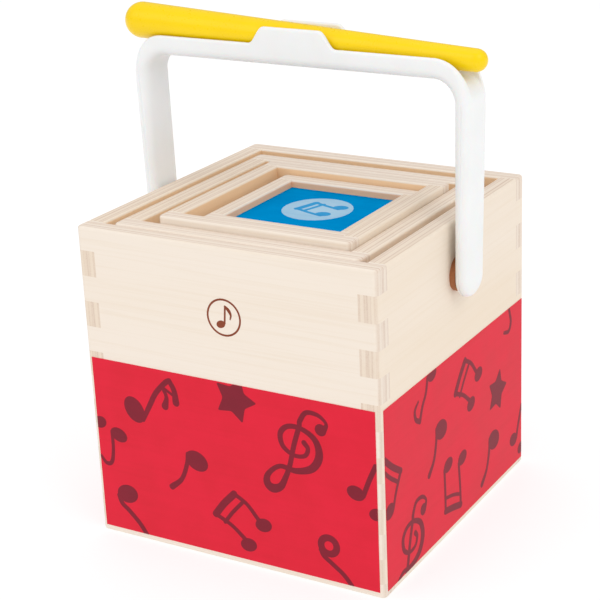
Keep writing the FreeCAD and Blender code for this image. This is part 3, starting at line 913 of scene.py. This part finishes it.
@dataclass
class Lid:
    """The inner box's top panel with its blue print, pale disc and notes, whose inks are the matt kind."""

    disc: Placed = Placed(Motif.DISC, 6.0, -2.0)
    notes: Placed = Placed(Motif.LID_NOTES, 3.0, -1.0, 0, 0.95)
    roughness: float = 0.6
    gloss: float = 0.0

    def ink(self, name: str, colour: str, deep: str) -> Material:
        """Mix one of the lid's inks."""
        return ScreenInk(name, colour, deep, X, self.roughness, self.gloss).build()

    def build(self) -> None:
        """Dress the panel and its print, and lay the disc and the notes on it."""
        low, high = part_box("inner_lid_panel")
        give("inner_lid_panel", BirchPlywood("lid_birch_plywood", Z, X, high.z, low.z - high.z).build())
        give("inner_lid_print", self.ink("lid_blue_ink", "#008CCB", "#0083C2"))
        low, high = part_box("inner_lid_print")
        disc = InkLayer("lid_disc", Side.TOP, low, high, Vector(), [self.disc],
                        self.ink("lid_pale_ink", "#A6C8DE", "#98BFDA")).build()
        raised = high + Vector((0, 0, InkLayer.PROUD * MM))
        notes = InkLayer("lid_notes", Side.TOP, low, raised, Vector(), [self.notes],
                         self.ink("lid_mid_blue_ink", "#3F9AD0", "#3590C9")).build()
        for piece in (disc, notes):
            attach(piece, "inner_box")


@dataclass
class Stamp:
    """A small brown pad-printed mark on the front band: a note in a ring."""

    across: float = 0.5
    up: float = 118.5
    roughness: float = 0.6

    def build(self) -> None:
        """Lay the mark on the outer box's front."""
        low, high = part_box("outer_front_wall")
        ink = ScreenInk("stamp_brown_ink", "#8F4A30", "#84412A", X, self.roughness).build()
        spot = Placed(Motif.STAMP, self.across, self.up)
        piece = InkLayer("front_stamp", Side.FRONT, low, high, Vector(), [spot], ink).build()
        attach(piece, "outer_box")


# ---- handle and beater


@dataclass
class CarryHandle:
    """The white swinging handle, a bent strap with a trough in its grip, and its pins and rings.

    Sizes are in millimetres. Heights are measured outwards from the strap's hand side. The channel's
    start and end are degrees round the bend, from the arm up, between which the trough runs out.
    """

    pivot_z: float = 125.0
    arm_inner: float = 78.0
    half_width: float = 10.0
    arm_thick: float = 8.0
    crown: float = 2.0
    grip_under: float = 213.0
    wall_top: float = 9.5
    trough_floor: float = 3.0
    half_trough: float = 7.5
    bend_inner: float = 10.0
    bend_outer: float = 17.0
    tab_middle: float = 18.1
    tab_slope: float = 4.6
    tab_rise: float = 7.8
    edge_round: float = 3.4
    crest_round: float = 1.25
    trough_round: float = 1.4
    channel_start: float = 72.0
    channel_end: float = 6.0
    crown_middle: float = 5.6

    ARM_STEPS = 26
    BEND_STEPS = 26
    GRIP_STEP = 1.0
    END_STEPS = 22
    ARC_STEPS = 6
    HAND_STEPS = 4
    WALL_STEPS = 3
    FLOOR_STEPS = 5
    # The angles in degrees between which a rounded edge meets the crown, and the halvings that find it.
    MEETING = (50, 90)
    HALVINGS = 30
    # Cosines count as at least this, since straight up never meets the strap's side.
    LEAST_COSINE = 0.01

    def hand_side(self, radius: float) -> Polygon:
        """Trace half of the section's hand side, from its middle to a corner of the given radius."""
        flat = self.half_width - radius
        run = [(flat * i / self.HAND_STEPS, 0.0) for i in range(self.HAND_STEPS)]
        return run + arc((flat, radius), radius, -90, 0, self.ARC_STEPS)

    def trough_half(self, edge: float) -> Polygon:
        """Trace half of the grip's section above the hand side.

        Args:
            edge: Height of the trough's wall.

        Returns:
            Points from the outer side over the wall's crest and down to the trough's middle.
        """
        crest, inside, floor = self.crest_round, self.trough_round, self.trough_floor
        line = arc((self.half_width - crest, edge - crest), crest, 0, 90, self.ARC_STEPS)
        line += arc((self.half_trough + crest, edge - crest), crest, 90, 180, self.ARC_STEPS)
        low, steps = floor + inside, self.WALL_STEPS
        line += [(self.half_trough, low + (edge - crest - low) * (steps - i) / (steps + 1))
                 for i in range(steps)]
        flat = self.half_trough - inside
        line += arc((flat, low), inside, 0, -90, self.ARC_STEPS)
        steps = self.FLOOR_STEPS
        return line + [(flat * (steps - 1 - i) / steps, floor) for i in range(steps)]

    def crowned_half(self, edge: float) -> Polygon:
        """Trace half of the arm's section above the hand side, with as many points as the trough's.

        Args:
            edge: Height of the arm's edge.

        Returns:
            Points from the outer side over the rounded edge to the crown's middle.
        """
        low, high = (math.radians(angle) for angle in self.MEETING)
        for _ in range(self.HALVINGS):
            angle = (low + high) / 2
            start = self.half_width - self.edge_round * (1 - math.cos(angle))
            top = edge - self.edge_round * (1 - math.sin(angle)) + start / (2 * math.tan(angle))
            low, high = (low, angle) if top < self.arm_thick else (angle, high)
        middle = (self.half_width - self.edge_round, edge - self.edge_round)
        line = arc(middle, self.edge_round, 0, math.degrees(angle), self.ARC_STEPS)
        bend = 1 / (2 * math.tan(angle) * start)
        count = 2 * (self.ARC_STEPS + 1) + self.WALL_STEPS
        places = [start - (start - self.crown_middle) * (i + 1) / count for i in range(count)]
        steps = self.FLOOR_STEPS
        places += [self.crown_middle * (steps - 1 - i) / steps for i in range(steps)]
        return line + [(place, top - bend * place * place) for place in places]

    def section(self, edge: float, channel: float, arm_edge: float) -> Polygon:
        """Trace one closed section of the strap.

        Args:
            edge: Height of the trough's wall here.
            channel: One where the trough is whole, zero where it has run out.
            arm_edge: Height of the crowned section's edge here.

        Returns:
            Points round the section, as (across, height), from the hand side's middle.
        """
        whole, crowned = self.trough_half(edge), self.crowned_half(arm_edge)
        upper = [(a[0] * channel + b[0] * (1 - channel), a[1] * channel + b[1] * (1 - channel))
                 for a, b in zip(whole, crowned)]
        half = self.hand_side(arm_edge - self.edge_round) + upper
        return half + [(-across, height) for across, height in half[-2:0:-1]]

    def stations(self) -> list[tuple[Vector, Vector, Polygon]]:
        """List the sections of the right half, from the grip's middle to the pivot.

        Returns:
            For each, its place on the hand side, its outward direction and its outline.
        """
        out = []
        corner = self.arm_inner - self.bend_inner
        bend_z = self.grip_under - self.bend_inner
        up, right = Vector((0, 0, 1)), Vector((1, 0, 0))
        steps = int(corner / self.GRIP_STEP)
        for i in range(steps):
            x = corner * i / steps
            share = min(1.0, max(0.0, (self.tab_middle + self.tab_slope - x) / (2 * self.tab_slope)))
            flow = share ** 3 * (share * (6 * share - 15) + 10)
            edge = self.wall_top + self.tab_rise * flow
            out.append((Vector((x, 0, self.grip_under)), up, self.section(edge, 1.0, self.arm_thick)))
        outer_x = self.arm_inner + self.arm_thick - self.bend_outer
        outer_z = self.grip_under + self.wall_top - self.bend_outer
        for i in range(self.BEND_STEPS + 1):
            degrees = 90 - 90 * i / self.BEND_STEPS
            angle = math.radians(degrees)
            out_dir = right * math.cos(angle) + up * math.sin(angle)
            offset = Vector((corner - outer_x, 0, bend_z - outer_z))
            along = offset.dot(out_dir)
            reach = -along + math.sqrt(along * along - offset.length_squared + self.bend_outer ** 2)
            side = (self.arm_inner + self.arm_thick - corner) / max(self.LEAST_COSINE, math.cos(angle))
            edge = min(reach, side) - self.bend_inner
            share = min(1.0, max(0.0, (degrees - self.channel_end) / (self.channel_start - self.channel_end)))
            channel = share * share * (3 - 2 * share)
            place = Vector((corner, 0, bend_z)) + out_dir * self.bend_inner
            out.append((place, out_dir, self.section(edge, channel, min(edge, self.arm_thick))))
        for i in range(1, self.ARM_STEPS + 1):
            share = i / self.ARM_STEPS
            z = bend_z + (self.pivot_z - bend_z) * share
            edge = self.arm_thick - self.crown * share
            out.append((Vector((self.arm_inner, 0, z)), right, self.section(edge, 0.0, edge)))
        return out

    def build_strap(self) -> Object:
        """Sweep the sections along the strap and turn a round end at each pivot."""
        half = self.stations()
        mirrored = [(Vector((-place.x, 0, place.z)), Vector((-out.x, 0, out.z)), outline)
                    for place, out, outline in half[:0:-1]]
        line = mirrored + half
        count = len(line[0][2])
        verts = [place + out * height + Vector((0, across, 0))
                 for place, out, outline in line for across, height in outline]
        faces = [(row * count + i, row * count + (i + 1) % count, (row + 1) * count + (i + 1) % count,
                  (row + 1) * count + i) for row in range(len(line) - 1) for i in range(count)]
        top = count // 2
        for row in (0, len(line) - 1):
            first = row * count
            loops = [[first + i for i in range(top + 1)]]
            for step in range(1, self.END_STEPS):
                angle = math.pi * step / self.END_STEPS
                loop = [first]
                for i in range(1, top):
                    rim = verts[first + i]
                    loop.append(len(verts))
                    height = self.pivot_z - rim.y * math.sin(angle)
                    verts.append(Vector((rim.x, rim.y * math.cos(angle), height)))
                loops.append(loop + [first + top])
            loops.append([first] + [first + count - i for i in range(1, top)] + [first + top])
            for a, b in zip(loops, loops[1:]):
                for i in range(top):
                    faces.append(tuple(dict.fromkeys((a[i], a[i + 1], b[i + 1], b[i]))))
        white = MouldedPlastic("white_moulded_polypropylene", "#F1F2F2", "#EDEEED", 0.4, 0.1).build()
        strap = new_piece("carry_handle", [v * MM for v in verts], faces, white, smooth=True)
        turned = bmesh.new()
        turned.from_mesh(strap.data)
        bmesh.ops.recalc_face_normals(turned, faces=turned.faces)
        turned.to_mesh(strap.data)
        turned.free()
        return strap

    def build(self) -> None:
        """Build the strap and dress the pins and the rings."""
        strap = self.build_strap()
        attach(strap, "handle")
        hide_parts("handle_bail")
        # The spacer rings are real, but their warm brown is a painted shadow: the brown of the shadow each
        # arm casts on the box side.
        fibre = MouldedPlastic("spacer_ring_painted_shadow", "#A8663A", "#985A32", 0.6).build()
        zinc = ZincPlatedSteel("zinc_plated_steel").build()
        for side in ("left", "right"):
            give(f"spacer_ring_{side}", fibre)
            give(f"pivot_pin_{side}", zinc)
        LOG.info("pins and rings dressed")


@dataclass
class Beater:
    """The tapered yellow beater that clips into the grip."""

    thick_end: Vector = field(default_factory=lambda: Vector((-85.0, 0.0, 227.1)))
    thin_end: Vector = field(default_factory=lambda: Vector((85.0, 0.0, 221.0)))
    thick_radius: float = 8.4
    thin_radius: float = 5.0

    ROUND_STEPS = 14
    SHANK_STEPS = 24
    CORNERS = 64

    def profile(self) -> list[Point]:
        """Trace the turned outline as (distance along the axis, radius) in millimetres."""
        length = (self.thin_end - self.thick_end).length
        lean = math.degrees(math.acos((self.thick_radius - self.thin_radius) / length))
        thick = arc((0, 0), self.thick_radius, 180, lean, self.ROUND_STEPS)
        thin = arc((length, 0), self.thin_radius, lean, 0, self.ROUND_STEPS)
        shank = [Vector(thick[-1]).lerp(Vector(thin[0]), i / self.SHANK_STEPS)
                 for i in range(1, self.SHANK_STEPS)]
        return thick + [(place.x, place.y) for place in shank] + thin

    def build(self) -> None:
        """Turn the outline into a solid that stands for the CAD beater."""
        axis = (self.thin_end - self.thick_end).normalized()
        side = axis.cross(Vector((0, 0, 1))).normalized()
        top = side.cross(axis)
        profile = self.profile()
        verts = [(self.thick_end + axis * profile[0][0]) * MM]
        for along, radius in profile[1:-1]:
            for x, y in arc((0, 0), radius, 0, 360, self.CORNERS)[:-1]:
                verts.append((self.thick_end + axis * along + side * x + top * y) * MM)
        verts.append((self.thick_end + axis * profile[-1][0]) * MM)
        rows = len(profile) - 2
        last = len(verts) - 1
        faces = []
        for i in range(self.CORNERS):
            j = (i + 1) % self.CORNERS
            faces.append((0, 1 + i, 1 + j))
            for row in range(rows - 1):
                a = 1 + row * self.CORNERS
                b = a + self.CORNERS
                faces.append((a + i, b + i, b + j, a + j))
            end = 1 + (rows - 1) * self.CORNERS
            faces.append((last, end + j, end + i))
        lacquer = LacqueredBeech("yellow_lacquered_beech", "#FBD600", "#F8D000").build()
        piece = new_piece("tapered_beater", verts, faces, lacquer, smooth=True)
        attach(piece, "beater")
        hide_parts("beater")


# ---- the studio


@dataclass
class Studio:
    """An opal light table, soft lights and the camera. The haze's width is in millimetres, as the lens is."""

    floor_half: float = 6.0
    floor_glow: float = 0.69
    haze_width: float = 1.1
    camera_at: tuple[float, float, float] = (0.3662, -0.6141, 0.3680)
    yaw: float = 28.833
    pitch: float = 19.708
    roll: float = -1.764
    lens: float = 97.8
    shift_x: float = -0.107
    shift_y: float = -0.041
    sky: float = 0.85
    sky_in_gloss: float = 0.4

    # Each soft box's name, place, the height of the point on the axis that it looks at, side and watts.
    SOFT_BOXES = (("key", (-0.9, -1.6, 1.7), 0.1, 1.4, 5.6), ("fill", (1.4, -0.6, 1.6), 0.12, 1.0, 6.5),
                  ("top", (0.0, 0.2, 1.7), 0.15, 1.2, 2.5))

    def build_floor(self) -> None:
        """Lay a wide sheet of matt opal acrylic, most of whose light comes through from below."""
        made, tree, coords = new_material("matt_opal_acrylic")
        haze = add(tree, "TexNoise", {"Vector": coords, "Scale": cells(self.haze_width), "Detail": 3.0})
        acrylic = finished(made, {
            "Base Color": add(tree, "ValToRGB", {"Fac": haze}, ((0.3, "#9F9F9F"), (0.7, "#A1A1A1"))),
            "Roughness": 0.95,
            "Specular IOR Level": 0.1,
            "Emission Color": linear("#FFFFFF"),
            "Emission Strength": self.floor_glow,
        })
        half = self.floor_half
        corners = [(-half, -half, 0), (half, -half, 0), (half, half, 0), (-half, half, 0)]
        floor = new_piece("studio_floor", corners, [(0, 1, 2, 3)], acrylic)

    def build_lights(self) -> None:
        """Light the sky, dimmer in reflections, and hang the soft boxes."""
        world = bpy.data.worlds.new("white_studio")
        bpy.context.scene.world = world
        world.use_nodes = True
        tree = world.node_tree
        sky = tree.nodes["Background"]
        rays = add(tree, "LightPath").outputs["Is Glossy Ray"]
        strength = add(tree, "Math", {0: rays, 1: self.sky_in_gloss - self.sky, 2: self.sky},
                       operation="MULTIPLY_ADD")
        tree.links.new(strength.outputs[0], sky.inputs["Strength"])
        sky.inputs["Color"].default_value = linear("#FFFFFF")
        for name, place, height, size, power in self.SOFT_BOXES:
            lamp = bpy.data.lights.new(name, "AREA")
            lamp.shape = "SQUARE"
            lamp.size = size
            lamp.energy = power
            box = bpy.data.objects.new(name, lamp)
            aim = Vector((0, 0, height)) - Vector(place)
            box.matrix_world = Matrix.Translation(place) @ aim.to_track_quat("-Z", "Y").to_matrix().to_4x4()
            bpy.context.scene.collection.objects.link(box)

    def build_camera(self) -> None:
        """Set the camera at its place, turned by yaw, then pitch, then roll."""
        turned = Matrix.Translation(self.camera_at)
        for degrees, axis in ((self.yaw, "Z"), (90 - self.pitch, "X"), (self.roll, "Z")):
            turned @= Matrix.Rotation(math.radians(degrees), 4, axis)
        data = bpy.data.cameras.new("camera")
        data.lens = self.lens
        data.shift_x = self.shift_x
        data.shift_y = self.shift_y
        data.clip_start = 0.01
        camera = bpy.data.objects.new("camera", data)
        camera.matrix_world = turned
        bpy.context.scene.collection.objects.link(camera)
        bpy.context.scene.camera = camera

    def build(self) -> None:
        """Build the floor, the lights and the camera."""
        bpy.context.scene.view_settings.view_transform = "Standard"
        self.build_floor()
        self.build_lights()
        self.build_camera()


def main() -> None:
    """Build the studio and every sub-assembly."""
    logging.basicConfig(level=logging.INFO, format="%(name)s: %(message)s")
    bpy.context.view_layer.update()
    Studio().build()
    red = InkPair("#E11A36", "#DA1831", "#841A2D", "#7D182A")
    yellow = InkPair("#F8C81C", "#F4C010", "#C4811A", "#BC7A16")
    green = InkPair("#5DB548", "#55AC42", "#2A7034", "#286A30")
    blue = InkPair("#0088C4", "#0080BC", "#0A4E86", "#094A80")
    front, right, back, left = Artwork.FRONT, Artwork.RIGHT, Artwork.BACK, Artwork.LEFT
    MusicBox("outer", red, (front, right, back, left), 9.0, "red_print").build()
    MusicBox("second", yellow, (left, back, front, right), 9.0, "yellow_print").build()
    MusicBox("third", green, (back, front, right, left), 8.0, "green_print").build()
    # The inner box's insides are a deeper orange: painted warm bounce light, against the bluish light off its
    # blue lid.
    MusicBox("inner", blue, (right, left, back, front), 8.0, "blue_print", "#FFC79C").build()
    Lid().build()
    Stamp().build()
    CarryHandle().build()
    Beater().build()


if __name__ == "__main__":
    main()
